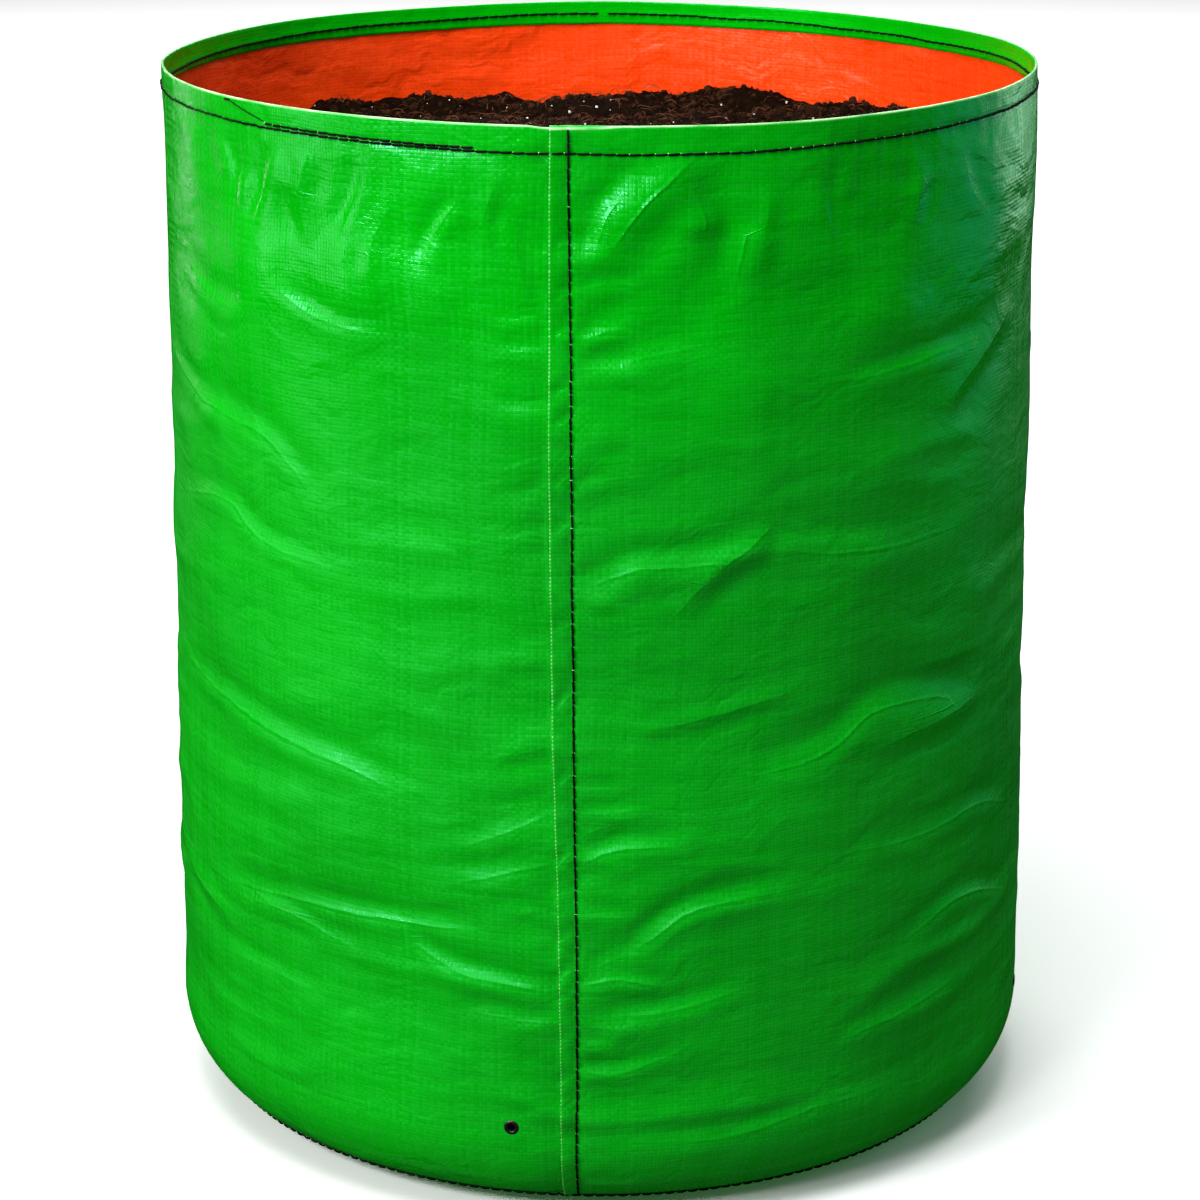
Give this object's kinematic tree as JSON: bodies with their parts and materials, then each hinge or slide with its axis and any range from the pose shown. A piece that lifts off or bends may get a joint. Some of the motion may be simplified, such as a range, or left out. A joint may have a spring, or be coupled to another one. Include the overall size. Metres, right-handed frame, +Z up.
{
  "type": "fabric grow bag",
  "caption": "Round free-standing grow bag of woven plastic sheet, with a hemmed rim, a lapped and stitched side seam, drain eyelets and a filling of potting mix.",
  "frame": {"origin": "centre of the flat base, on the surface that the bag stands on", "axes": "+Z up along the bag's axis through its open rim; the lapped side seam faces -Y, and +X is to the right seen from there"},
  "size_m": [0.5077, 0.5089, 0.6096],
  "materials": {
    "green_sheet": "gloss",
    "black_thread": "matte",
    "black_eyelet": "satin",
    "potting_mix": "matte"
  },
  "bodies": {
    "root": {"side_panel": "green_sheet", "base_panel": "green_sheet", "hem_stitch_outer": "black_thread", "hem_stitch_inner": "black_thread", "side_seam_stitch_outer": "black_thread", "side_seam_stitch_inner": "black_thread", "base_seam_stitch_outer": "black_thread", "base_seam_stitch_inner": "black_thread", "eyelet_1": "black_eyelet", "eyelet_2": "black_eyelet", "eyelet_3": "black_eyelet", "eyelet_4": "black_eyelet", "eyelet_washer_1": "black_eyelet", "eyelet_washer_2": "black_eyelet", "eyelet_washer_3": "black_eyelet", "eyelet_washer_4": "black_eyelet", "growing_mix": "potting_mix"}
  },
  "joints": []
}
